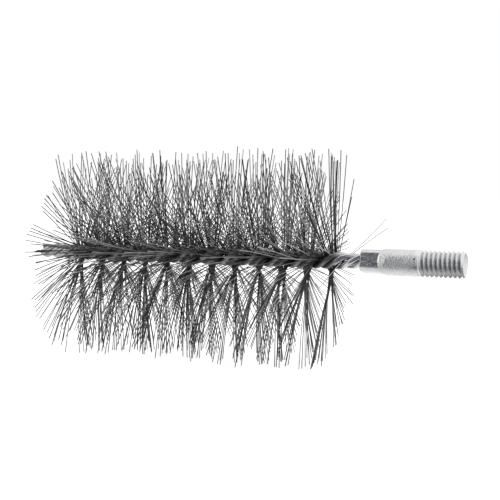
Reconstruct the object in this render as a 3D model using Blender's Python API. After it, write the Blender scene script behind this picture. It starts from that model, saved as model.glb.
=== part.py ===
# Twisted wire flue brush, lying on its bristles with the threaded end towards +X.
# Lengths are in metres. The brush is modelled along X, with zero where the bristles start
# on the stem, and is then set down with the middle of its underside at the origin.

import math
import random

import bmesh
import bpy
from mathutils import Vector

# Bristles
brush_diameter = 0.105
fill_length = 0.144
fill_thickness = 0.0007
bristle_wire = 0.00042
tip_flat_depth = 0.0005
tip_scatter = 0.002
tip_wander = math.radians(2.5)
far_end_flare = 0.002
flare_reach = 0.015
fill_start_angle = math.radians(-65)
row_count = 11
steps_per_row = 18
scatter_seed = 78

# Stem of four wires, twisted left-handed
stem_wire_diameter = 0.0026
twist_lead = 0.02525
far_bare_stem = 0.022
near_bare_stem = 0.0106
closing_length = 0.006
rings_per_turn = 10
wire_sides = 8
slice_edge_share = 0.25
tangent_share = 0.001
approach_samples = 30
seat_rounds = 40

# Ferrule, a tube pressed square on the stem and threaded at its other end
tube_diameter = 0.0125
thread_diameter = 0.0127
thread_length = 0.0225
collar_length = 0.0142
swell_length = 0.0042
crimp_length = 0.0077
crimp_wall = 0.0013
crimp_roll = math.radians(-14)
socket_depth = 0.024
shoulder_length = 0.0003
end_chamfer = 0.0010
rim_chamfer = 0.0003
ferrule_sides = 48
swell_rings = 6

# Gap between pieces that touch
clearance = 0.0003

brush_radius = brush_diameter / 2
row_pitch = fill_length / row_count
ferrule_start = fill_length + near_bare_stem
stem_end = ferrule_start + socket_depth


def smooth_step(value):
    inside = min(max(value, 0), 1)
    return inside * inside * (3 - 2 * inside)


def blend(start, end, share):
    return start + (end - start) * share


def twist_angle(x):
    return fill_start_angle - math.tau * x / twist_lead


# A point given across the twisting fill: u along the bristles, w square to them.
def twisted(x, u, w):
    angle = twist_angle(x)
    along = math.cos(angle)
    across = math.sin(angle)
    return Vector((x, u * along - w * across, u * across + w * along))


# The least distance between two wires that run at (u, w) and (mate_u, mate_w).
def closest_approach(u, w, mate_u, mate_w):
    here = twisted(0, u, w)
    reach = twist_lead / 4
    gaps = []
    for i in range(-approach_samples, approach_samples + 1):
        mate = twisted(reach * i / approach_samples, mate_u, mate_w)
        gaps.append((mate - here).length)
    return min(gaps)


# Where the four wires lie round the axis. The fill between them sets half_gap.
def wire_seat(half_gap):
    spacing = stem_wire_diameter + clearance
    u = spacing / 2
    w = spacing / 2
    for _ in range(seat_rounds):
        tilt = math.atan(math.tau * u / twist_lead)
        w = max(u, (half_gap + stem_wire_diameter / 2) / math.cos(tilt))
        u += (spacing - closest_approach(u, w, -u, w)) / 2
    return u, w


fill_seat = wire_seat(fill_thickness / 2 + clearance)
bare_seat = wire_seat(0)


# The wires close up on each other past both ends of the fill.
def seat_at(x):
    past_fill = max(-x, x - fill_length) - clearance
    share = smooth_step(past_fill / closing_length)
    return blend(fill_seat[0], bare_seat[0], share), blend(fill_seat[1], bare_seat[1], share)


def stem_radius(seat):
    return math.hypot(seat[0], seat[1]) + stem_wire_diameter / 2


def material(name, color, roughness, metallic):
    finish = bpy.data.materials.new(name)
    finish.use_nodes = True
    finish.diffuse_color = (*color, 1)
    shader = finish.node_tree.nodes["Principled BSDF"]
    shader.inputs["Base Color"].default_value = (*color, 1)
    shader.inputs["Roughness"].default_value = roughness
    shader.inputs["Metallic"].default_value = metallic
    return finish


def make_object(name, mesh_data, finish, parent, smooth_angle):
    bmesh.ops.recalc_face_normals(mesh_data, faces=mesh_data.faces)
    mesh = bpy.data.meshes.new(name)
    mesh_data.to_mesh(mesh)
    mesh_data.free()
    mesh.shade_smooth()
    mesh.set_sharp_from_angle(angle=smooth_angle)
    mesh.materials.append(finish)
    piece = bpy.data.objects.new(name, mesh)
    bpy.context.scene.collection.objects.link(piece)
    piece.parent = parent
    return piece


def join_rings(mesh_data, first, second):
    count = len(first)
    for i in range(count):
        j = (i + 1) % count
        mesh_data.faces.new((first[i], first[j], second[j], second[i]))


# One stem wire, on the side of the fill that the two signs give.
def stem_wire(u_sign, w_sign):
    def centre(x):
        u, w = seat_at(x)
        return twisted(x, u_sign * u, w_sign * w)

    mesh_data = bmesh.new()
    start = -far_bare_stem
    length = stem_end - start
    ring_count = round(rings_per_turn * length / twist_lead)
    small_step = twist_lead * tangent_share
    previous = None
    for i in range(ring_count + 1):
        x = start + length * i / ring_count
        middle = centre(x)
        tangent = (centre(x + small_step) - centre(x - small_step)).normalized()
        outward = Vector((0, middle.y, middle.z))
        outward = (outward - outward.dot(tangent) * tangent).normalized()
        sideways = tangent.cross(outward)
        ring = []
        for j in range(wire_sides):
            angle = math.tau * j / wire_sides
            spoke = math.cos(angle) * outward + math.sin(angle) * sideways
            point = middle + spoke * stem_wire_diameter / 2
            if i in (0, ring_count):
                point += tangent * (x - point.x) / tangent.x
            ring.append(mesh_data.verts.new(point))
        if previous:
            join_rings(mesh_data, previous, ring)
        else:
            mesh_data.faces.new(ring)
        previous = ring
    mesh_data.faces.new(previous)
    return mesh_data


# One bristle, drawn out of a quad on the edge of the slice. It has its wire's size
# where it leaves the stem, and its tip is trimmed to the brush's cylinder and its flat.
def strand(mesh_data, root, side, x, chance):
    neck_reach = side * (stem_radius(fill_seat) + clearance)
    neck_middle = twisted(x, neck_reach, 0)
    neck_across = twisted(x, 0, bristle_wire / 2) - twisted(x, 0, 0)
    flare = far_end_flare * max(0, 1 - x / flare_reach)
    lean = chance.uniform(-tip_scatter, tip_scatter) - flare
    angle = twist_angle(x) + chance.uniform(-tip_wander, tip_wander)
    outward = side * Vector((0, math.cos(angle), math.sin(angle)))
    tip_middle = Vector((x + lean, 0, 0)) + brush_radius * outward
    tip_across = Vector((0, -math.sin(angle), math.cos(angle))) * bristle_wire / 2
    along_axis = Vector((bristle_wire / 2, 0, 0))
    direction = tip_middle - neck_middle
    flat_height = tip_flat_depth - brush_radius
    neck = []
    tip = []
    for x_sign, w_sign in ((-1, 1), (1, 1), (1, -1), (-1, -1)):
        neck.append(mesh_data.verts.new(neck_middle + x_sign * along_axis + w_sign * neck_across))
        corner = tip_middle + x_sign * along_axis + w_sign * tip_across
        if corner.z < flat_height:
            corner += direction * (flat_height - corner.z) / direction.z
        tip.append(mesh_data.verts.new(corner))
    join_rings(mesh_data, root, neck)
    join_rings(mesh_data, neck, tip)
    mesh_data.faces.new(tip)


# A row: a twisted slice of the packed bristle wires, with a strand at each step on both edges.
def bristle_row(index, chance):
    mesh_data = bmesh.new()
    slice_reach = fill_seat[0] + slice_edge_share * stem_wire_diameter
    start = index * row_pitch + clearance / 2
    step = (row_pitch - clearance) / steps_per_row
    half = fill_thickness / 2
    rows = []
    for k in range(steps_per_row + 1):
        x = start + k * step
        rows.append([[mesh_data.verts.new(twisted(x, slice_reach * u_share, half * w_share))
                      for w_share in (-1, 1)] for u_share in (-1, 0, 1)])
    for near, far in zip(rows, rows[1:]):
        for left in (0, 1):
            for face in (0, 1):
                corners = near[left][face], near[left + 1][face], far[left + 1][face], far[left][face]
                mesh_data.faces.new(corners)
    for end in (rows[0], rows[-1]):
        for left in (0, 1):
            mesh_data.faces.new((end[left][0], end[left + 1][0], end[left + 1][1], end[left][1]))
    for k in range(steps_per_row):
        x = start + (k + 0.5) * step
        for edge, side in ((0, -1), (2, 1)):
            near = rows[k][edge]
            far = rows[k + 1][edge]
            strand(mesh_data, (near[1], far[1], far[0], near[0]), side, x, chance)
    return mesh_data


# The tube's outline at one angle: round, or cut back to flats half_flat from the axis.
def pressed_radius(angle, half_flat):
    from_flat = (angle - crimp_roll + math.pi / 4) % (math.pi / 2) - math.pi / 4
    return min(tube_diameter / 2, half_flat / math.cos(from_flat))


def ferrule():
    bore_radius = stem_radius(bare_seat) + clearance
    crimp_half = bore_radius + crimp_wall
    tube_radius = tube_diameter / 2
    thread_radius = thread_diameter / 2
    swell_start = ferrule_start + crimp_length
    collar_start = swell_start + swell_length
    thread_start = collar_start + collar_length
    end = thread_start + thread_length
    mesh_data = bmesh.new()

    def ring(x, radius_at):
        points = []
        for i in range(ferrule_sides):
            angle = math.tau * i / ferrule_sides
            radius = radius_at(angle)
            position = (x, radius * math.cos(angle), radius * math.sin(angle))
            points.append(mesh_data.verts.new(position))
        return points

    def pressed_ring(x, half_flat, inset):
        return ring(x, lambda angle: pressed_radius(angle, half_flat) - inset)

    def round_ring(x, radius):
        return ring(x, lambda angle: radius)

    bore_floor = round_ring(stem_end + clearance, bore_radius)
    rings = [bore_floor, round_ring(ferrule_start, bore_radius)]
    rings.append(pressed_ring(ferrule_start, crimp_half, rim_chamfer))
    rings.append(pressed_ring(ferrule_start + rim_chamfer, crimp_half, 0))
    for i in range(swell_rings):
        share = i / swell_rings
        half_flat = blend(crimp_half, tube_radius, smooth_step(share))
        rings.append(pressed_ring(swell_start + swell_length * share, half_flat, 0))
    rings.append(round_ring(collar_start, tube_radius))
    rings.append(round_ring(thread_start, tube_radius))
    rings.append(round_ring(thread_start + shoulder_length, thread_radius))
    rings.append(round_ring(end - end_chamfer, thread_radius))
    rings.append(round_ring(end, thread_radius - end_chamfer))
    for first, second in zip(rings, rings[1:]):
        join_rings(mesh_data, first, second)
    mesh_data.faces.new(bore_floor)
    mesh_data.faces.new(rings[-1])
    return mesh_data


# The brush is set down on its flat, with the middle of its underside at the origin.
def set_down(root, pieces):
    points = [vertex.co for piece in pieces for vertex in piece.data.vertices]
    low = Vector([min(point[axis] for point in points) for axis in range(3)])
    high = Vector([max(point[axis] for point in points) for axis in range(3)])
    root.location = (-(low.x + high.x) / 2, -(low.y + high.y) / 2, -low.z)


def build():
    for old in list(bpy.data.objects):
        bpy.data.objects.remove(old)
    root = bpy.data.objects.new("brush", None)
    bpy.context.scene.collection.objects.link(root)
    bristle_steel = material("bristle_steel", (0.24, 0.24, 0.25), 0.42, 1.0)
    stem_steel = material("stem_steel", (0.46, 0.46, 0.47), 0.32, 1.0)
    zinc_plate = material("zinc_plate", (0.72, 0.74, 0.77), 0.22, 1.0)
    round_edges = math.radians(40)
    flat_edges = math.radians(25)
    pieces = []
    chance = random.Random(scatter_seed)
    for index in range(row_count):
        name = f"bristle_row_{index + 1:02d}"
        row = bristle_row(index, chance)
        pieces.append(make_object(name, row, bristle_steel, root, flat_edges))
    for number, (u_sign, w_sign) in enumerate(((-1, -1), (1, -1), (1, 1), (-1, 1)), start=1):
        wire = stem_wire(u_sign, w_sign)
        pieces.append(make_object(f"stem_wire_{number}", wire, stem_steel, root, round_edges))
    pieces.append(make_object("ferrule", ferrule(), zinc_plate, root, flat_edges))
    set_down(root, pieces)


build()
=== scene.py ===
# Twisted wire flue brush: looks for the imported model
import math
import re

import bmesh
import bpy
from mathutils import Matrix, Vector


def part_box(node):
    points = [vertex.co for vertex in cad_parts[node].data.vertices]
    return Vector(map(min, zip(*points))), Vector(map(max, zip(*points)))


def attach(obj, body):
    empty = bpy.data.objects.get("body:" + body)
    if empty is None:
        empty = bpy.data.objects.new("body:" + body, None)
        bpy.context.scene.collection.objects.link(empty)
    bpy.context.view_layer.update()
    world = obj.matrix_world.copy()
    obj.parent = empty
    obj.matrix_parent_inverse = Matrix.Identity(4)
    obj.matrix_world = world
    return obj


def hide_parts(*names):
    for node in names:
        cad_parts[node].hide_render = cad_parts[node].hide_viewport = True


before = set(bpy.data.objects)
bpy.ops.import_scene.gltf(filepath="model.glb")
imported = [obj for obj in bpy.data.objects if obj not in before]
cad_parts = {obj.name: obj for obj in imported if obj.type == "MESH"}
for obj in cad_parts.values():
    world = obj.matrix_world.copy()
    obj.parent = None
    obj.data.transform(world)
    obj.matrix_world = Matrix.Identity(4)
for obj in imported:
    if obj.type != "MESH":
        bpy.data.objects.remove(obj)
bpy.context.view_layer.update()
print("frame loaded")

# where the pieces lie, read from the frame
ferruleLow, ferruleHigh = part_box("ferrule")
stemLow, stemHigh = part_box("stem_wire_1")
axisHeight = (ferruleLow.z + ferruleHigh.z) / 2
ferruleStart = ferruleLow.x
ferruleEnd = ferruleHigh.x
rowNames = sorted(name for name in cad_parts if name.startswith("bristle_row"))
wireNames = sorted(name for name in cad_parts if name.startswith("stem_wire"))

# the twist that stem and bristles share, left-handed
twist = {
    "lead": 0.02525,
    "bareStem": 0.0106,       # between the bristles and the ferrule
    "fillLength": 0.144,
    "startAngle": math.radians(-65),
}
fillEnd = ferruleStart - twist["bareStem"]
fillStart = fillEnd - twist["fillLength"]


# a number in a node tree, so that a formula reads as one
class Field:
    def __init__(self, tree, socket):
        self.tree = tree
        self.socket = socket

    def maths(self, operation, *others):
        return mathsNode(self.tree, operation, self, *others)

    def __add__(self, other):
        return self.maths("ADD", other)

    def __sub__(self, other):
        return self.maths("SUBTRACT", other)

    def __rsub__(self, other):
        return mathsNode(self.tree, "SUBTRACT", other, self)

    def __mul__(self, other):
        return self.maths("MULTIPLY", other)

    def __truediv__(self, other):
        return self.maths("DIVIDE", other)

    def ramp(self, low, high, lowValue=0.0, highValue=1.0, smooth=True):
        kind = "SMOOTHSTEP" if smooth else "LINEAR"
        node = addInOrder(self.tree, "ShaderNodeMapRange", self, low, high, lowValue, highValue,
                          interpolation_type=kind)
        return Field(self.tree, node.outputs[0])


def plug(tree, item, socket):
    if isinstance(item, Field):
        tree.links.new(item.socket, socket)
    elif isinstance(item, bpy.types.NodeSocket):
        tree.links.new(item, socket)
    else:
        socket.default_value = item


def addNode(tree, kind, inputs=None, **settings):
    node = tree.nodes.new(kind)
    for name, value in settings.items():
        setattr(node, name, value)
    for name, item in (inputs or {}).items():
        plug(tree, item, node.inputs[name])
    return node


# for a node whose inputs are told apart by their order
def addInOrder(tree, kind, *items, **settings):
    node = addNode(tree, kind, **settings)
    for item, socket in zip(items, node.inputs):
        plug(tree, item, socket)
    return node


def mathsNode(tree, operation, *items):
    return Field(tree, addInOrder(tree, "ShaderNodeMath", *items, operation=operation).outputs[0])


# the socket of one kind, where a node has several of the same name
def socketOf(sockets, name, kind):
    return next(socket for socket in sockets if socket.name == name and socket.type == kind)


# from low to high as the share goes from zero to one
def between(low, high, share):
    return share * (high - low) + low


def combined(tree, x, y, z):
    return addNode(tree, "ShaderNodeCombineXYZ", {"X": x, "Y": y, "Z": z}).outputs[0]


def separated(tree, vector):
    node = addNode(tree, "ShaderNodeSeparateXYZ", {"Vector": vector})
    return [Field(tree, node.outputs[axis]) for axis in "XYZ"]


# a piece's settings as inputs of its tree, where wireRadius becomes Wire Radius
def namedInputs(settings):
    inputs = {}
    for key, value in settings.items():
        name = re.sub("([A-Z])", r" \1", key).title()
        inputs[name] = ("Int" if isinstance(value, int) else "Float", value)
    return inputs


# a tree with named inputs, given as name: (kind, value)
def newTree(name, treeKind, inputs, outputs):
    tree = bpy.data.node_groups.new(name, treeKind)
    for inputName, (kind, value) in inputs.items():
        socket = tree.interface.new_socket(name=inputName, in_out="INPUT", socket_type=f"NodeSocket{kind}")
        if value is not None:
            socket.default_value = value
    for outputName, kind in outputs.items():
        tree.interface.new_socket(name=outputName, in_out="OUTPUT", socket_type=f"NodeSocket{kind}")
    entry = tree.nodes.new("NodeGroupInput")
    given = {inputName: Field(tree, entry.outputs[inputName]) for inputName in inputs}
    return tree, given


def linked(name, data):
    item = bpy.data.objects.new(name, data)
    bpy.context.scene.collection.objects.link(item)
    return item


# the shape that a geometry tree makes, as a plain mesh object
def grow(name, tree, values):
    holder = linked(name + "_holder", bpy.data.meshes.new(name + "_holder"))
    modifier = holder.modifiers.new("shape", "NODES")
    modifier.node_group = tree
    sockets = {item.name: item.identifier for item in tree.interface.items_tree if item.in_out == "INPUT"}
    for inputName, value in values.items():
        modifier[sockets[inputName]] = value
    graph = bpy.context.evaluated_depsgraph_get()
    mesh = bpy.data.meshes.new_from_object(holder.evaluated_get(graph))
    mesh.name = name
    bpy.data.objects.remove(holder)
    return linked(name, mesh)


# the last steps of a tree: shaded smooth, made real and given its material
def finishTree(tree, geometry, material):
    smooth = addNode(tree, "GeometryNodeSetShadeSmooth", {"Geometry": geometry})
    real = addNode(tree, "GeometryNodeRealizeInstances", {"Geometry": smooth.outputs[0]})
    coloured = addNode(tree, "GeometryNodeSetMaterial", {"Geometry": real.outputs[0], "Material": material})
    addNode(tree, "NodeGroupOutput", {"Geometry": coloured.outputs[0]})


# a tube along the curves, and the last steps
def tubeOut(tree, curves, given):
    profile = addNode(tree, "GeometryNodeCurvePrimitiveCircle",
                      {"Resolution": given["Sides"], "Radius": given["Wire Radius"]})
    tube = addNode(tree, "GeometryNodeCurveToMesh",
                   {"Curve": curves, "Profile Curve": profile.outputs["Curve"], "Fill Caps": True})
    finishTree(tree, tube.outputs[0], given["Material"])


# what the trees of the stem and of the bristles share
commonInputs = {
    "Lead": ("Float", twist["lead"]),
    "Fill Start": ("Float", fillStart),
    "Fill End": ("Float", fillEnd),
    "Start Angle": ("Float", twist["startAngle"]),
    "Axis Height": ("Float", axisHeight),
    "Material": ("Material", None),
}


def twistAngle(given, x):
    return given["Start Angle"] - (x - given["Fill Start"]) * math.tau / given["Lead"]


# a place on the twisting fill: u along the bristles, w square to them
def twistedPosition(tree, x, angle, u, w, height):
    along = angle.maths("COSINE")
    across = angle.maths("SINE")
    return combined(tree, x, u * along - w * across, u * across + w * along + height)


# rows: the frame says how many share the fill
rows = {
    "thinEnd": 0.0014,        # next to the ferrule, where only strays stand
    "firstSeed": 5,
    "seedStep": 100,
}
rowLength = (twist["fillLength"] - rows["thinEnd"]) / len(rowNames)

# bristles: straight steel wires gripped by the stem, a little bent and scattered
bristles = {
    "perRow": 133,
    "perTuft": 14,            # neighbours that lie nearly side by side
    "pointsPerBristle": 8,
    "sides": 5,
    "wireRadius": 0.00021,
    "tipRadius": 0.0530,
    "shortest": 0.0405,
    "worn": 0.0045,           # how much shorter the shortest are on the upper side
    "fewShortBelow": 0.28,    # the smaller, the fewer short ones on the lower side
    "fewShortAbove": 0.34,    # and on the upper side
    "longest": 0.0016,        # how far a few tips reach past the tip radius
    "fewLong": 12,            # the higher, the fewer of those
    "broken": 0.16,           # share of the wires at the very top that end half way
    "brokenFrom": 0.014,      # how far those reach, at least and at most
    "brokenTo": 0.033,
    "rootReach": 0.0012,
    "slotReach": 0.0036,      # from here on a bristle is free of the stem
    "waistReach": 0.0080,     # where the fill has swelled out of the stem's grip
    "gripThickness": 0.0012,
    "waistThickness": 0.0019,
    "waistShift": 0.0020,     # how far along the stem a bristle strays up to the waist
    "fan": 0.14,              # spread round the stem, per length
    "lean": 0.125,            # spread along the stem, per length
    "tuftShare": 0.86,        # how much of its spread, bow and shift a bristle shares with its tuft
    "bend": 0.7,              # how much a bristle bows, per length squared
    "kink": 0.03,             # how much it turns aside at its kink, per length
    "kinkFrom": 0.25,         # where the kink lies, as a share of the free length
    "kinkTo": 0.9,
    "sweep": 0.14,            # how steeply a bristle leaves the stem towards the far end
    "sweepLost": 0.50,        # share of it that is missing at the very top and at the near end
    "sweepReach": 0.035,      # how far out it stands square to the stem again
    "combed": 0.10,           # how much a patch of the upper side is combed to the far end, per length
    "combedFrom": 0.010,      # where that patch begins and ends, from the start of the fill
    "combedTo": 0.062,
    "combedFullFrom": 0.028,  # and where it is combed in full
    "combedFullTo": 0.036,
    "farFlare": -0.020,       # how much the end wires lean outwards, per length; below zero, inwards
    "nearFlare": -0.065,
    "flareReach": 0.015,      # how far into the fill that goes
}

# a number for each random choice, so that no two follow each other
draws = {
    "place": 1,
    "length": 2,
    "kinkPlace": 3,
    "grip": 4,
    "fan": 5,
    "bowSideways": 6,
    "kinkSideways": 7,
    "lean": 8,
    "bowLengthways": 9,
    "kinkLengthways": 10,
    "shade": 11,
    "long": 12,
    "shift": 13,
    "broken": 14,
    "brokenLength": 15,
    "second": 50,             # added for the second of two that are averaged
}


def bristleTree():
    tree, given = newTree("bristleRow", "GeometryNodeTree", {
        **commonInputs,
        **namedInputs(bristles),
        "Row Start": ("Float", fillStart),
        "Row Length": ("Float", rowLength),
        "Seed": ("Int", rows["firstSeed"]),
    }, {"Geometry": "Geometry"})

    # which bristle a point belongs to, and its place from root to tip
    perBristle = given["Points Per Bristle"]
    points = addNode(tree, "GeometryNodePoints", {"Count": given["Per Row"] * perBristle})
    index = Field(tree, tree.nodes.new("GeometryNodeInputIndex").outputs[0])
    number = (index / perBristle).maths("FLOOR")
    along = (index - number * perBristle) / (perBristle - 1)
    side = number.maths("MODULO", 2) * 2 - 1
    tuft = (number / given["Per Tuft"]).maths("FLOOR") * 2 + side

    def chance(purpose, low=0.0, high=1.0, who=number, extra=0):
        node = addNode(tree, "FunctionNodeRandomValue",
                       {"ID": who, "Seed": given["Seed"] + (draws[purpose] + extra)})
        plug(tree, low, socketOf(node.inputs, "Min", "VALUE"))
        plug(tree, high, socketOf(node.inputs, "Max", "VALUE"))
        return Field(tree, socketOf(node.outputs, "Value", "VALUE"))

    def spread(purpose, who=number):  # mostly near zero, at most one
        return (chance(purpose, -1.0, 1.0, who) + chance(purpose, -1.0, 1.0, who, draws["second"])) / 2

    def tufted(purpose):  # partly the tuft's and partly the bristle's own
        shared = given["Tuft Share"]
        return spread(purpose, tuft) * shared + spread(purpose) * (1 - shared)

    # where it stands: how far up, and how near to either end of the fill
    x = given["Row Start"] + given["Row Length"] * (number + chance("place")) / given["Per Row"]
    angle = twistAngle(given, x)
    upper = (angle.maths("SINE") * side + 1) / 2
    farEnd = ((given["Fill Start"] - x) / given["Flare Reach"] + 1).maths("MAXIMUM", 0)
    nearEnd = ((x - given["Fill End"]) / given["Flare Reach"] + 1).maths("MAXIMUM", 0)

    # how far its tip reaches
    shortest = given["Shortest"] - given["Worn"] * upper
    fewShort = between(given["Few Short Below"], given["Few Short Above"], upper)
    tipReach = between(shortest, given["Tip Radius"], chance("length").maths("POWER", fewShort))
    tipReach = tipReach + given["Longest"] * chance("long").maths("POWER", given["Few Long"])
    broken = chance("broken").maths("LESS_THAN", given["Broken"] * upper)
    brokenReach = chance("brokenLength", given["Broken From"], given["Broken To"])
    tipReach = between(tipReach, brokenReach, broken)

    # how it bows, kinks and leans
    reach = between(given["Root Reach"], tipReach, along)
    free = (reach - given["Slot Reach"]).maths("MAXIMUM", 0)
    bow = free * free * given["Bend"]
    kinkPlace = chance("kinkPlace", given["Kink From"], given["Kink To"])
    kinkStart = between(given["Slot Reach"], tipReach, kinkPlace)
    bent = (reach - kinkStart).maths("MAXIMUM", 0) * given["Kink"]
    flare = nearEnd * given["Near Flare"] - farEnd * given["Far Flare"]

    # how far it is swept and combed towards the far end
    swept = (free / given["Sweep Reach"]).maths("MINIMUM", 1)
    lost = upper.maths("MAXIMUM", nearEnd) * given["Sweep Lost"]
    sweep = given["Sweep"] * (1 - lost) * given["Sweep Reach"] * swept * (1 - swept / 2)
    fromStart = x - given["Fill Start"]
    patch = (fromStart.ramp(given["Combed From"], given["Combed Full From"])
             * fromStart.ramp(given["Combed To"], given["Combed Full To"]))
    sweep = sweep + free * (patch * upper) * given["Combed"]

    # where all that puts the point, never lower than the floor
    swollen = reach.ramp(given["Root Reach"], given["Waist Reach"])
    thickness = between(given["Grip Thickness"], given["Waist Thickness"], swollen)
    sideways = (thickness * chance("grip", -0.5, 0.5) + free * tufted("fan") * given["Fan"]
                + bow * tufted("bowSideways") + bent * spread("kinkSideways"))
    lengthways = (given["Waist Shift"] * swollen * tufted("shift")
                  + free * (flare + tufted("lean") * given["Lean"])
                  + bow * tufted("bowLengthways") + bent * spread("kinkLengthways") - sweep)
    aloft = twistedPosition(tree, x + lengthways, angle, reach * side, sideways, given["Axis Height"])
    placeX, placeY, placeZ = separated(tree, aloft)
    position = combined(tree, placeX, placeY, placeZ.maths("MAXIMUM", given["Wire Radius"]))

    placed = addNode(tree, "GeometryNodeSetPosition", {"Geometry": points.outputs[0], "Position": position})
    shaded = addNode(tree, "GeometryNodeStoreNamedAttribute",
                     {"Geometry": placed.outputs[0], "Name": "shade", "Value": chance("shade")},
                     data_type="FLOAT", domain="POINT")
    curves = addNode(tree, "GeometryNodePointsToCurves",
                     {"Points": shaded.outputs[0], "Curve Group ID": number, "Weight": along})
    tubeOut(tree, curves.outputs[0], given)
    return tree


# a few wires that stand away from the rest; the light ones are painted highlights, where near-side bristles
# catch the light
strays = {
    "radius": 0.0002,
    "roundness": 1,           # of the wire's section
    "steps": 6,               # along the wire
    "darkShade": 0.25,
    "lightShade": 1.0,
    # root, middle and tip of each
    "dark": (
        ((-0.0865, -0.0034, 0.0520), (-0.0850, -0.0284, 0.0533), (-0.0843, -0.0533, 0.0533)),
        ((-0.0850, -0.0034, 0.0520), (-0.0820, -0.0282, 0.0548), (-0.0798, -0.0529, 0.0564)),
        ((-0.0860, -0.0034, 0.0520), (-0.0826, -0.0280, 0.0562), (-0.0801, -0.0525, 0.0591)),
        ((-0.0862, -0.0034, 0.0520), (-0.0849, -0.0273, 0.0600), (-0.0844, -0.0511, 0.0668)),
        ((-0.0866, -0.0034, 0.0520), (-0.0829, -0.0254, 0.0640), (-0.0800, -0.0474, 0.0749)),
        ((-0.0880, -0.0034, 0.0520), (-0.0837, -0.0230, 0.0676), (-0.0803, -0.0427, 0.0820)),
        ((-0.0858, -0.0034, 0.0520), (-0.0831, -0.0282, 0.0502), (-0.0811, -0.0529, 0.0471)),
        ((-0.0850, -0.0034, 0.0520), (-0.0825, -0.0280, 0.0488), (-0.0808, -0.0526, 0.0444)),
        ((-0.0868, -0.0034, 0.0520), (-0.0821, -0.0273, 0.0467), (-0.0782, -0.0512, 0.0403)),
        ((-0.0870, -0.0034, 0.0520), (-0.0844, -0.0261, 0.0424), (-0.0826, -0.0488, 0.0316)),
        ((0.0522, 0.0020, 0.0535), (0.0507, 0.0190, 0.0724), (0.0484, 0.0359, 0.0900)),
        ((0.0520, 0.0020, 0.0535), (0.0488, 0.0226, 0.0678), (0.0448, 0.0432, 0.0809)),
        ((0.0517, 0.0020, 0.0535), (0.0519, 0.0087, 0.0782), (0.0513, 0.0155, 0.1016)),
        ((0.0512, 0.0020, 0.0535), (0.0526, 0.0017, 0.0792), (0.0532, 0.0014, 0.1037)),
        ((-0.0850, -0.0034, 0.0540), (-0.0833, -0.0262, 0.0600), (-0.0815, -0.0490, 0.0650)),
        ((-0.0800, -0.0036, 0.0530), (-0.0805, -0.0280, 0.0545), (-0.0812, -0.0525, 0.0560)),
        ((-0.0700, -0.0036, 0.0535), (-0.0725, -0.0280, 0.0520), (-0.0750, -0.0525, 0.0510)),
        ((-0.0780, -0.0036, 0.0540), (-0.0770, -0.0275, 0.0575), (-0.0765, -0.0515, 0.0610)),
    ),
    # painted highlights: near-side wires painted light where they catch the light
    "light": (
        ((0.0570, 0.0008, 0.0540), (0.0657, 0.0030, 0.0616), (0.0733, 0.0080, 0.0715)),
        ((0.0575, 0.0000, 0.0535), (0.0668, 0.0010, 0.0615), (0.0757, 0.0040, 0.0676)),
        ((0.0554, -0.0034, 0.0517), (0.0520, -0.0085, 0.0462), (0.0482, -0.0140, 0.0402)),
        ((0.0412, -0.0036, 0.0549), (0.0444, -0.0258, 0.0627), (0.0468, -0.0480, 0.0692)),
        ((0.0407, -0.0036, 0.0533), (0.0438, -0.0274, 0.0588), (0.0460, -0.0513, 0.0632)),
        ((0.0289, -0.0036, 0.0555), (0.0310, -0.0185, 0.0617), (0.0323, -0.0334, 0.0666)),
        ((0.0261, -0.0036, 0.0552), (0.0281, -0.0180, 0.0596), (0.0292, -0.0324, 0.0628)),
        ((0.0160, -0.0036, 0.0566), (0.0187, -0.0158, 0.0611), (0.0205, -0.0280, 0.0644)),
        ((0.0505, -0.0036, 0.0547), (0.0522, -0.0163, 0.0579), (0.0531, -0.0289, 0.0600)),
        ((0.0251, -0.0036, 0.0521), (0.0261, -0.0288, 0.0565), (0.0264, -0.0540, 0.0597)),
        ((0.0327, -0.0036, 0.0521), (0.0339, -0.0282, 0.0571), (0.0343, -0.0528, 0.0610)),
    ),
}


def makeStrays(name, allPlaces, shadeValue, material):
    data = bpy.data.curves.new(name, "CURVE")
    data.dimensions = "3D"
    data.bevel_depth = strays["radius"]
    data.bevel_resolution = strays["roundness"]
    data.use_fill_caps = True
    for places in allPlaces:
        wire = data.splines.new("NURBS")
        wire.points.add(len(places) - 1)
        for point, place in zip(wire.points, places):
            point.co = (*place, 1)
        wire.use_endpoint_u = True
        wire.order_u = len(places)
        wire.resolution_u = strays["steps"]
    holder = bpy.data.objects.new(name + "_curve", data)
    mesh = bpy.data.meshes.new_from_object(holder)
    bpy.data.objects.remove(holder)
    shade = mesh.attributes.new("shade", "FLOAT", "POINT")
    shade.data.foreach_set("value", [shadeValue] * len(mesh.vertices))
    mesh.materials.clear()
    mesh.materials.append(material)
    mesh.shade_smooth()
    mesh.name = name
    return linked(name, mesh)


# stem: four drawn wires that close up on each other where the bristles end
stem = {
    "wireRadius": 0.00145,
    "fillAlong": 0.00167,     # seats, along the bristles and square to them
    "fillAcross": 0.00217,
    "bareAlong": 0.00157,     # where all four wires touch
    "bareAcross": 0.00157,
    "closingLength": 0.006,
    "ringsPerTurn": 30,
    "sides": 20,
}


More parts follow.
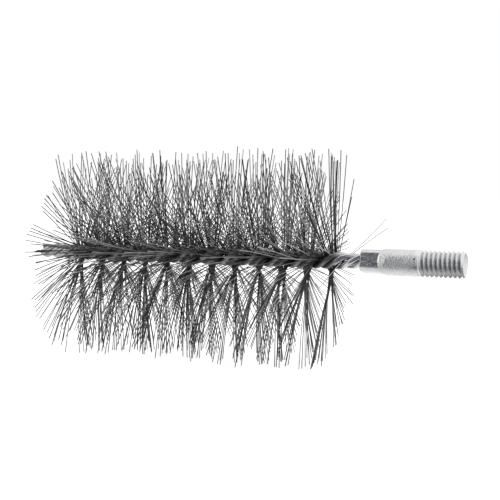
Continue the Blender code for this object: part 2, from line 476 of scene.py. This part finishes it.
def wireTree():
    tree, given = newTree("stemWire", "GeometryNodeTree", {
        **commonInputs,
        **namedInputs(stem),
        "Start": ("Float", stemLow.x),
        "Length": ("Float", stemHigh.x - stemLow.x),
        "Side Along": ("Float", 1.0),
        "Side Across": ("Float", 1.0),
    }, {"Geometry": "Geometry"})
    rings = (given["Length"] / given["Lead"] * given["Rings Per Turn"]).maths("ROUND")
    points = addNode(tree, "GeometryNodePoints", {"Count": rings})
    index = Field(tree, tree.nodes.new("GeometryNodeInputIndex").outputs[0])
    x = given["Start"] + given["Length"] * (index / (rings - 1))

    # the wire's seat among the others, on its own two sides
    pastFill = (x - given["Fill End"]).maths("MAXIMUM", given["Fill Start"] - x)
    closed = pastFill.ramp(0.0, given["Closing Length"])
    u = between(given["Fill Along"], given["Bare Along"], closed) * given["Side Along"]
    w = between(given["Fill Across"], given["Bare Across"], closed) * given["Side Across"]
    position = twistedPosition(tree, x, twistAngle(given, x), u, w, given["Axis Height"])

    placed = addNode(tree, "GeometryNodeSetPosition", {"Geometry": points.outputs[0], "Position": position})
    curves = addNode(tree, "GeometryNodePointsToCurves", {"Points": placed.outputs[0], "Weight": index})
    tubeOut(tree, curves.outputs[0], given)
    return tree


# ferrule: a tube pressed square on the stem, then a round collar, then a right-hand rod thread
ferrule = {
    "startInset": 0.0007,
    "tubeRadius": 0.00625,
    "crimpHalf": 0.0052,
    "crimpLength": 0.0097,
    "crimpRoll": math.radians(-14),
    "cornerSoftness": 0.00012,
    "swellLength": 0.0042,
    "swellHollow": 0.0012,    # how much sooner the swell starts in the middle of a flat
    "swellRings": 24,
    "boreRadius": 0.00382,
    "boreDepth": 0.024,
    "rim": 0.0003,
    "rimSteps": ((0, 1), (0.4, 0.35), (1, 0), (1.5, 0)),    # along and inwards, as shares of the rim
    "coneLength": 0.0018,     # from the tube out to the thread
    "threadLength": 0.0225,
    "dish": ((0, 1), (0, 0.9), (0.00018, 0.84), (0.00018, 0.3)),    # depth, and share of the end radius
    "sides": 96,
    "sharpAngle": math.radians(62),
    "sliver": 0.0000002,      # edges shorter than this are taken out
}
threadStart = ferruleEnd - ferrule["threadLength"]

# the thread, wound from before its start to past its end and cut off at both
thread = {
    "radius": 0.00635,
    "depth": 0.00128,
    "pitch": 0.0254 / 12,
    "phase": -0.00046,
    "flatShare": 0.05,        # of a flank's height that is left flat at the crest and at the root
    "turns": 14,
    "turnsBefore": 1.5,
    "sides": ferrule["sides"],
    "profileSteps": 16,
    "runOut": 0.0044,
    "chamfer": 0.0008,
    "endRadius": 0.0056,
    "weld": 0.000002,
}


def threadTree():
    tree, given = newTree("rodThread", "GeometryNodeTree", {
        **namedInputs(thread),
        "Start": ("Float", threadStart),
        "End": ("Float", ferruleEnd),
        "Axis Height": ("Float", axisHeight),
        "Material": ("Material", None),
    }, {"Geometry": "Geometry"})
    start = given["Start"]
    end = given["End"]
    turns = given["Turns"]

    # a flat strip to wind round the axis: turns along it, and one pitch across it
    grid = addNode(tree, "GeometryNodeMeshGrid", {
        "Size X": turns, "Size Y": 1.0,
        "Vertices X": turns * given["Sides"] + 1, "Vertices Y": given["Profile Steps"] + 1})
    gridX, gridY, _ = separated(tree, tree.nodes.new("GeometryNodeInputPosition").outputs[0])
    turn = gridX + turns * 0.5
    across = gridY + 0.5
    x = start + given["Phase"] + given["Pitch"] * (turn + across - given["Turns Before"])
    x = x.maths("MAXIMUM", start).maths("MINIMUM", end)

    # the tooth stands highest half way across, runs out at the start and is chamfered at the end
    tooth = 1 - (across * 2 - 1).maths("ABSOLUTE")
    tooth = tooth.ramp(given["Flat Share"], 1 - given["Flat Share"], smooth=False)
    chamferStart = end - given["Chamfer"]
    cut = x.ramp(start, start + given["Run Out"]) * x.ramp(end, chamferStart, smooth=False)
    radius = given["Radius"] - given["Depth"] * (1 - tooth) * cut
    limit = x.ramp(chamferStart, end, given["Radius"], given["End Radius"], smooth=False)
    radius = radius.maths("MINIMUM", limit)
    angle = turn * math.tau
    position = combined(tree, x, radius * angle.maths("COSINE"),
                        radius * angle.maths("SINE") + given["Axis Height"])

    wound = addNode(tree, "GeometryNodeSetPosition",
                    {"Geometry": grid.outputs["Mesh"], "Position": position})
    welded = addNode(tree, "GeometryNodeMergeByDistance",
                     {"Geometry": wound.outputs[0], "Distance": given["Weld"]})
    finishTree(tree, welded.outputs[0], given["Material"])
    return tree


# the pressed tube's outline at one angle: round, or flat, with a soft edge between
def pressedRadius(angle, pastCrimp):
    quarter = math.pi / 2
    fromFlat = (angle - ferrule["crimpRoll"] + quarter / 2) % quarter - quarter / 2
    early = ferrule["swellHollow"] * (1 - (fromFlat / (quarter / 2)) ** 2)
    share = min(max((pastCrimp + early) / ferrule["swellLength"], 0), 1)
    share = (share + share * share * (3 - 2 * share)) / 2
    soft = ferrule["cornerSoftness"]
    pressDepth = ferrule["tubeRadius"] + soft - ferrule["crimpHalf"]
    flat = (ferrule["crimpHalf"] + pressDepth * share) / math.cos(fromFlat)
    gap = flat - ferrule["tubeRadius"]
    if gap < -soft:
        return flat
    if gap > soft:
        return ferrule["tubeRadius"]
    return flat - (gap + soft) ** 2 / (4 * soft)


# tube, collar and end face, whose rims meet the thread's
def ferruleBody():
    body = bmesh.new()
    sides = ferrule["sides"]

    def ring(x, radiusAt):
        points = []
        for i in range(sides):
            angle = math.tau * i / sides
            radius = radiusAt(angle)
            place = (x, radius * math.cos(angle), axisHeight + radius * math.sin(angle))
            points.append(body.verts.new(place))
        return points

    def roundRing(x, radius):
        return ring(x, lambda angle: radius)

    def pressedRing(x, inset=0.0):
        return ring(x, lambda angle: pressedRadius(angle, x - crimpEnd) - inset)

    def bridge(rings):
        for first, second in zip(rings, rings[1:]):
            for i in range(sides):
                j = (i + 1) % sides
                body.faces.new((first[i], first[j], second[j], second[i]))

    rim = ferrule["rim"]
    bore = ferrule["boreRadius"]
    start = ferruleStart + ferrule["startInset"]
    crimpEnd = start + ferrule["crimpLength"]
    swellStart = crimpEnd - ferrule["swellHollow"]
    swellReach = ferrule["swellHollow"] + ferrule["swellLength"]

    # out of the bore and over the rim
    rings = [roundRing(start + ferrule["boreDepth"], bore)]
    rings += [roundRing(start + rim, bore), roundRing(start, bore + rim / 2)]
    for along, inwards in ferrule["rimSteps"]:
        rings.append(pressedRing(start + rim * along, rim * inwards))

    # along the flats, up the swell and over the round tube to the thread
    rings.append(pressedRing(swellStart - rim / 2))
    for i in range(ferrule["swellRings"] + 1):
        rings.append(pressedRing(swellStart + swellReach * i / ferrule["swellRings"]))
    for x in (swellStart + swellReach + rim / 2, threadStart - ferrule["coneLength"]):
        rings.append(roundRing(x, ferrule["tubeRadius"]))
    rings.append(roundRing(threadStart, thread["radius"]))
    bridge(rings)
    body.faces.new(rings[0])

    # the end face
    face = []
    for depth, share in ferrule["dish"]:
        face.append(roundRing(ferruleEnd - depth, thread["endRadius"] * share))
    bridge(face)
    body.faces.new(face[-1])
    return body


def makeFerrule(material):
    screw = grow("ferruleThread", threadTree(), {"Material": material})
    body = ferruleBody()
    body.from_mesh(screw.data)
    bpy.data.objects.remove(screw)
    bmesh.ops.remove_doubles(body, verts=body.verts, dist=thread["weld"])
    bmesh.ops.dissolve_degenerate(body, edges=body.edges, dist=ferrule["sliver"])
    bmesh.ops.recalc_face_normals(body, faces=body.faces)
    mesh = bpy.data.meshes.new("ferruleZinc")
    body.to_mesh(mesh)
    body.free()
    mesh.materials.clear()
    mesh.materials.append(material)
    mesh.shade_smooth()
    mesh.set_sharp_from_angle(angle=ferrule["sharpAngle"])
    return linked("ferruleZinc", mesh)


# materials

def newMaterial(name):
    material = bpy.data.materials.new(name)
    material.use_nodes = True
    return material, material.node_tree


def setSurface(tree, inputs):
    for name, item in inputs.items():
        plug(tree, item, tree.nodes["Principled BSDF"].inputs[name])


def useGroup(tree, group, inputs):
    return addNode(tree, "ShaderNodeGroup", inputs, node_tree=group)


# patches of two sizes, for oxide, oil and plating
patchLook = {
    "broad": {"Detail": 4.0, "Roughness": 0.6},
    "fine": {"Detail": 2.0},
    "fineScale": 5,           # times the scale of the broad ones
    "fineShare": 0.35,
}


def patchGroup():
    tree, given = newTree("patches", "ShaderNodeTree", {
        "Vector": ("Vector", None),
        "Scale": ("Float", None),
        "Contrast": ("Float", None),
    }, {"Mask": "Float"})
    broad = addNode(tree, "ShaderNodeTexNoise",
                    {"Vector": given["Vector"], "Scale": given["Scale"], **patchLook["broad"]})
    fineScale = given["Scale"] * patchLook["fineScale"]
    fine = addNode(tree, "ShaderNodeTexNoise",
                   {"Vector": given["Vector"], "Scale": fineScale, **patchLook["fine"]})
    both = (Field(tree, broad.outputs[0]) * (1 - patchLook["fineShare"])
            + Field(tree, fine.outputs[0]) * patchLook["fineShare"])
    mask = both.ramp(0.5 - given["Contrast"], given["Contrast"] + 0.5)
    addNode(tree, "NodeGroupOutput", {"Mask": mask})
    return tree


def patchMask(tree, patches, vector, sizes):
    return Field(tree, useGroup(tree, patches, {"Vector": vector, **sizes}).outputs["Mask"])


def mixColour(tree, share, first, second):
    node = addNode(tree, "ShaderNodeMix", {"Factor": share}, data_type="RGBA")
    plug(tree, first, socketOf(node.inputs, "A", "RGBA"))
    plug(tree, second, socketOf(node.inputs, "B", "RGBA"))
    return socketOf(node.outputs, "Result", "RGBA")


def objectPlace(tree):
    return tree.nodes.new("ShaderNodeTexCoord").outputs["Object"]


# distance from the stem's axis, and the place along it
def fromAxis(tree):
    x, y, z = separated(tree, objectPlace(tree))
    z = z - axisHeight
    return (y * y + z * z).maths("SQRT"), x


bristleLook = {
    "dark": (0.040, 0.040, 0.042, 1),
    "light": (0.75, 0.75, 0.755, 1),
    # painted shade: next to the stem the wires take the root colour, where the bristles crowd
    "root": (0.038, 0.038, 0.039, 1),
    "rootReach": 0.005,
    "rootShadeReach": 0.026,      # where the painted shade near the stem has faded out
    "fewLight": 2.2,          # the higher, the fewer light wires
    "fewLightRoots": 8,       # the higher, the fewer of those that are light from the root on
    "roughness": (0.30, 0.52),    # of the light wires and of the dark ones
    "metallic": 0.5,          # of the dark wires; the light ones are matt, and their light colour is partly random tone, partly painted highlight streaks
    "patches": {"Scale": 260.0, "Contrast": 0.22},
    "patchTone": (0.6, 1.1),  # how light a light wire is, from patch to patch
}


def bristleSteel(patches):
    material, tree = newMaterial("bristleSteel")
    shade = Field(tree, addNode(tree, "ShaderNodeAttribute", attribute_name="shade").outputs["Fac"])
    distance, _ = fromAxis(tree)
    mask = patchMask(tree, patches, objectPlace(tree), bristleLook["patches"])
    # a few wires are painted light: partly random tone, partly painted highlight streaks
    tone = shade.maths("POWER", bristleLook["fewLight"]) * between(*bristleLook["patchTone"], mask)
    colour = mixColour(tree, tone, bristleLook["dark"], bristleLook["light"])
    # painted shade near the stem, which the lightest wires are spared
    unshaded = distance.ramp(bristleLook["rootReach"], bristleLook["rootShadeReach"])
    unshaded = unshaded.maths("MAXIMUM", shade.maths("POWER", bristleLook["fewLightRoots"]))
    setSurface(tree, {
        "Base Color": mixColour(tree, unshaded, bristleLook["root"], colour),
        "Roughness": between(*bristleLook["roughness"], 1 - tone),
        "Metallic": (1 - tone) * bristleLook["metallic"],
    })
    return material


stemLook = {
    "dark": (0.040, 0.040, 0.042, 1),
    "light": (0.85, 0.85, 0.86, 1),
    "roughness": (0.42, 0.18),    # of the dark steel and of the light
    "metallic": 1.0,
    "shadeFadeBefore": 0.004,     # the near wires come out of the painted shade of the fill from before the fill's end to past it
    "shadeFadePast": 0.003,
    "fillShadeTone": 0.30,        # painted shade: how light the wires between the bristles are kept
    "farTone": 0.6,          # how light the bare wires at the far end are kept
    "farFade": 0.004,
    # painted shade in the crevices between the wires, from and to these distances from the axis
    "shadedCreviceReach": (0.0013, 0.0027),
    "patches": {"Scale": 420.0, "Contrast": 0.25},
    "patchTone": (0.6, 1.0),
}


def stemSteel(patches):
    material, tree = newMaterial("stemSteel")
    mask = patchMask(tree, patches, objectPlace(tree), stemLook["patches"])
    distance, x = fromAxis(tree)
    # painted shade on the wires inside the fill, among the bristles
    unshaded = x.ramp(fillEnd - stemLook["shadeFadeBefore"], fillEnd + stemLook["shadeFadePast"],
                   stemLook["fillShadeTone"], 1.0)
    farTone = x.ramp(fillStart, fillStart + stemLook["farFade"], stemLook["farTone"], 0.0)
    # painted shade in the crevices between the twisted wires, darker towards the axis
    creviceShading = distance.ramp(*stemLook["shadedCreviceReach"])
    tone = unshaded.maths("MAXIMUM", farTone) * creviceShading * between(*stemLook["patchTone"], mask)
    setSurface(tree, {
        "Base Color": mixColour(tree, tone, stemLook["dark"], stemLook["light"]),
        "Roughness": between(*stemLook["roughness"], tone),
        "Metallic": stemLook["metallic"],
    })
    return material


zincLook = {
    "bright": (0.90, 0.90, 0.90, 1),
    "dull": (0.80, 0.80, 0.81, 1),
    "roughness": (0.10, 0.06),       # of the dull plating and of the bright
    "metallic": 1.0,
    # the dark of the matt spangles, and of the painted shade in the thread's roots
    "mottleAndShade": (0.30, 0.30, 0.31, 1),
    "mottle": 0.3,                   # how much darker the matt spangles are
    "threadRootShade": 0.5,                # how much darker the thread's roots are painted, as painted shade
    "rootRoughness": 0.2,            # and how much rougher
    "rootHeight": 0.6,               # how far up that goes, as a share of the thread's depth
    "crimpFade": 0.0005,
    "collarFade": 0.001,
    "plating": {"Scale": 500.0, "Contrast": 0.2},
    "spangles": {"Scale": 1300.0, "Contrast": 0.15},
    "jawMarks": {"Scale": 600.0, "Contrast": 0.12},
    "jawStretch": (0.12, 1.0, 1.0),    # how the marks of the press are drawn out along the tube
    "bump": {"Strength": 0.6, "Distance": 0.00008},
}


def zincPlate(patches):
    material, tree = newMaterial("zincPlate")
    place = objectPlace(tree)
    distance, x = fromAxis(tree)
    mask = patchMask(tree, patches, place, zincLook["plating"])

    # marks of the press on the crimp, and spangles past it
    drawnOut = addInOrder(tree, "ShaderNodeVectorMath", place, zincLook["jawStretch"],
                          operation="MULTIPLY")
    marks = patchMask(tree, patches, drawnOut.outputs[0], zincLook["jawMarks"])
    spangles = patchMask(tree, patches, place, zincLook["spangles"])
    crimpEnd = ferruleStart + ferrule["crimpLength"]
    pastCrimp = x.ramp(crimpEnd, crimpEnd + zincLook["crimpFade"])
    relief = marks * (1 - pastCrimp) + spangles * pastCrimp

    # painted shade in the roots of the thread, which are also rougher
    onThread = x.ramp(threadStart, threadStart + thread["pitch"])
    beforeEnd = x.ramp(ferruleEnd - thread["chamfer"], ferruleEnd - thread["chamfer"] * 2)
    rootRadius = thread["radius"] - thread["depth"]
    rootTop = rootRadius + thread["depth"] * zincLook["rootHeight"]
    deep = distance.ramp(rootRadius, rootTop, 1.0, 0.0) * onThread * beforeEnd

    colour = mixColour(tree, mask, zincLook["dull"], zincLook["bright"])
    onTube = x.ramp(threadStart + zincLook["collarFade"], threadStart)
    colour = mixColour(tree, (1 - relief) * onTube * zincLook["mottle"], colour, zincLook["mottleAndShade"])
    bump = addNode(tree, "ShaderNodeBump", {"Height": relief, **zincLook["bump"]})
    setSurface(tree, {
        "Base Color": mixColour(tree, deep * zincLook["threadRootShade"], colour, zincLook["mottleAndShade"]),
        "Roughness": between(*zincLook["roughness"], mask) + deep * zincLook["rootRoughness"],
        "Metallic": zincLook["metallic"],
        "Normal": bump.outputs[0],
    })
    return material


# the object
patches = patchGroup()
bristleMaterial = bristleSteel(patches)
stemMaterial = stemSteel(patches)
zincMaterial = zincPlate(patches)
print("materials ready")

rowTree = bristleTree()
for row, rowName in enumerate(rowNames):
    piece = grow(f"bristles_{row + 1:02d}", rowTree, {
        "Row Start": fillStart + row * rowLength,
        "Seed": rows["firstSeed"] + rows["seedStep"] * row,
        "Material": bristleMaterial,
    })
    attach(piece, "root")
    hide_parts(rowName)
# the light strays carry painted highlights
for kind in ("dark", "light"):
    piece = makeStrays(kind + "Strays", strays[kind], strays[kind + "Shade"], bristleMaterial)
    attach(piece, "root")
print("bristles ready")

stemTree = wireTree()
corners = ((-1.0, -1.0), (1.0, -1.0), (1.0, 1.0), (-1.0, 1.0))
for wireName, (sideAlong, sideAcross) in zip(wireNames, corners):
    piece = grow(wireName.replace("stem_wire", "twistedWire"), stemTree, {
        "Side Along": sideAlong,
        "Side Across": sideAcross,
        "Material": stemMaterial,
    })
    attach(piece, "root")
    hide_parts(wireName)
print("stem ready")

piece = makeFerrule(zincMaterial)
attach(piece, "root")
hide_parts("ferrule")
print("ferrule ready")


# what metal mirrors: white all round, and a dark card round the camera
mirrored = {
    "above": (0.94, 0.945, 0.95, 1),
    "below": (1.0, 1.0, 0.99, 1),
    "front": (0.74, 0.74, 0.74, 1),
    # where each of these sets in and is full, on a direction of length one
    "behind": (-0.2, 0.4),
    "left": (-0.45, -0.65),
    "overhead": (-0.1, 0.3),
    "lowRight": (0.05, 0.35),      # a grey corner that fades again further down
    "lowRightTop": (-0.05, -0.3),
    "lowRightFoot": (-0.9, -0.5, 0.2, 1.0),
    "cardMiddle": (0.22, 0.225, 0.245, 1),
    "cardEdge": (0.02, 0.024, 0.045, 1),
    # from its edge's colour to its middle's, and its sides and ends, per distance in front
    "cardFade": (0.95, 0.0),
    "cardLeft": (-0.60, -0.48),
    "cardRight": (0.80, 0.66),
    "cardLow": (-1.56, -1.36),
    "cardHigh": (2.0, 1.9),
    "leastAhead": 0.0001,
}


# the colour that metal mirrors in a given direction
def cardGroup():
    tree, given = newTree("mirroredCard", "ShaderNodeTree", {"Direction": ("Vector", None)},
                          {"Color": "Color"})
    unit = addInOrder(tree, "ShaderNodeVectorMath", given["Direction"], operation="NORMALIZE")
    x, y, z = separated(tree, unit.outputs[0])
    ahead = (y * -1).maths("MAXIMUM", mirrored["leastAhead"])
    aside = x / ahead
    rise = z / ahead
    card = (aside.ramp(*mirrored["cardLeft"]) * aside.ramp(*mirrored["cardRight"])
            * rise.ramp(*mirrored["cardLow"]) * rise.ramp(*mirrored["cardHigh"]))
    middle = rise.maths("ABSOLUTE").ramp(*mirrored["cardFade"])
    tone = mixColour(tree, middle, mirrored["cardEdge"], mirrored["cardMiddle"])
    white = mixColour(tree, y.ramp(*mirrored["behind"]), mirrored["front"], mirrored["below"])
    white = mixColour(tree, x.ramp(*mirrored["left"]), white, mirrored["below"])
    notLeft = x.ramp(*reversed(mirrored["left"]))
    white = mixColour(tree, z.ramp(*mirrored["overhead"]) * notLeft, white, mirrored["above"])
    corner = (x.ramp(*mirrored["lowRight"]) * z.ramp(*mirrored["lowRightTop"])
              * z.ramp(*mirrored["lowRightFoot"]))
    white = mixColour(tree, corner, white, mirrored["cardMiddle"])
    addNode(tree, "NodeGroupOutput", {"Color": mixColour(tree, card, white, tone)})
    return tree


# stage: a pale floor, a white surround and two soft lamps
stage = {
    "floorRadius": 3.0,
    "floorSides": 96,
    "floorColour": (0.45, 0.45, 0.45, 1),
    "floorLift": 0.82,             # light that only the camera sees, so that the floor ends in white
    "surround": (0.30, 0.80),      # at the horizon and overhead
    "surroundRise": 0.8,           # how high a direction points where it is as light as overhead
    "white": (1, 1, 1, 1),
    # power, size, place, and whether metal mirrors it
    "lamps": (
        (14.0, 2.2, (0.1, 0.30, 1.1), False),
        (0.13, 0.25, (-0.30, -0.36, 0.33), True),
    ),
}


def lightPath(tree, name):
    return Field(tree, tree.nodes.new("ShaderNodeLightPath").outputs[name])


# matt, lit up for the camera, and replaced by the card where metal mirrors it
def floorMaterial(card):
    material, tree = newMaterial("paleFloor")
    tree.nodes.clear()
    matt = addNode(tree, "ShaderNodeBsdfDiffuse", {"Color": stage["floorColour"]})
    strength = lightPath(tree, "Is Camera Ray") * stage["floorLift"]
    lift = addNode(tree, "ShaderNodeEmission", {"Color": stage["white"], "Strength": strength})
    seen = addInOrder(tree, "ShaderNodeAddShader", matt.outputs[0], lift.outputs[0])
    middle = ((ferruleStart + ferruleEnd) / 2, 0, axisHeight)
    away = addInOrder(tree, "ShaderNodeVectorMath", objectPlace(tree), middle, operation="SUBTRACT")
    seenCard = useGroup(tree, card, {"Direction": away.outputs[0]})
    reflection = addNode(tree, "ShaderNodeEmission", {"Color": seenCard.outputs[0], "Strength": 1.0})
    chosen = addInOrder(tree, "ShaderNodeMixShader", lightPath(tree, "Is Glossy Ray"),
                        seen.outputs[0], reflection.outputs[0])
    addNode(tree, "ShaderNodeOutputMaterial", {"Surface": chosen.outputs[0]})
    return material


def makeFloor(card):
    mesh = bpy.data.meshes.new("floor")
    shape = bmesh.new()
    bmesh.ops.create_circle(shape, cap_ends=True, segments=stage["floorSides"],
                            radius=stage["floorRadius"])
    shape.to_mesh(mesh)
    shape.free()
    mesh.materials.append(floorMaterial(card))
    floor = linked("floor", mesh)


def makeSurround(card):
    world = bpy.data.worlds.new("studio")
    bpy.context.scene.world = world
    world.use_nodes = True
    tree = world.node_tree
    tree.nodes.clear()
    direction = tree.nodes.new("ShaderNodeTexCoord").outputs["Generated"]
    seenCard = useGroup(tree, card, {"Direction": direction})
    _, _, rise = separated(tree, direction)
    grey = rise.ramp(0.0, stage["surroundRise"], *stage["surround"])
    colour = mixColour(tree, lightPath(tree, "Is Glossy Ray"), combined(tree, grey, grey, grey),
                       seenCard.outputs[0])
    colour = mixColour(tree, lightPath(tree, "Is Camera Ray"), colour, stage["white"])
    glow = addNode(tree, "ShaderNodeBackground", {"Color": colour, "Strength": 1.0})
    addNode(tree, "ShaderNodeOutputWorld", {"Surface": glow.outputs[0]})


def makeLamp(power, size, place, isMirrored):
    data = bpy.data.lights.new("softbox", "AREA")
    data.size = size
    data.energy = power
    lamp = linked("softbox", data)
    lamp.location = place
    aim = Vector((0, 0, axisHeight)) - lamp.location
    lamp.rotation_euler = aim.to_track_quat("-Z", "Y").to_euler()
    lamp.visible_glossy = isMirrored


# camera, from the photograph: 500 by 500 pixels
view = {
    "lens": 75,
    "sensor": 36,
    "azimuth": math.radians(23.8),
    "elevation": math.radians(4.16),
    "distance": 0.5076,
    "nearest": 0.01,
    "target": (-0.1053, 0, 0.0036),    # from the middle of the ferrule's end face
}


def makeCamera():
    data = bpy.data.cameras.new("camera")
    data.sensor_width = view["sensor"]
    data.lens = view["lens"]
    data.clip_start = view["nearest"]
    camera = linked("camera", data)
    target = Vector(view["target"]) + Vector((ferruleEnd, 0, axisHeight))
    flat = math.cos(view["elevation"])
    away = Vector((math.sin(view["azimuth"]) * flat, -math.cos(view["azimuth"]) * flat,
                   math.sin(view["elevation"])))
    camera.location = target + away * view["distance"]
    camera.rotation_euler = (-away).to_track_quat("-Z", "Y").to_euler()
    bpy.context.scene.camera = camera


card = cardGroup()
makeFloor(card)
makeSurround(card)
for lamp in stage["lamps"]:
    makeLamp(*lamp)
makeCamera()
bpy.context.scene.view_settings.view_transform = "Standard"
print("stage and camera ready")
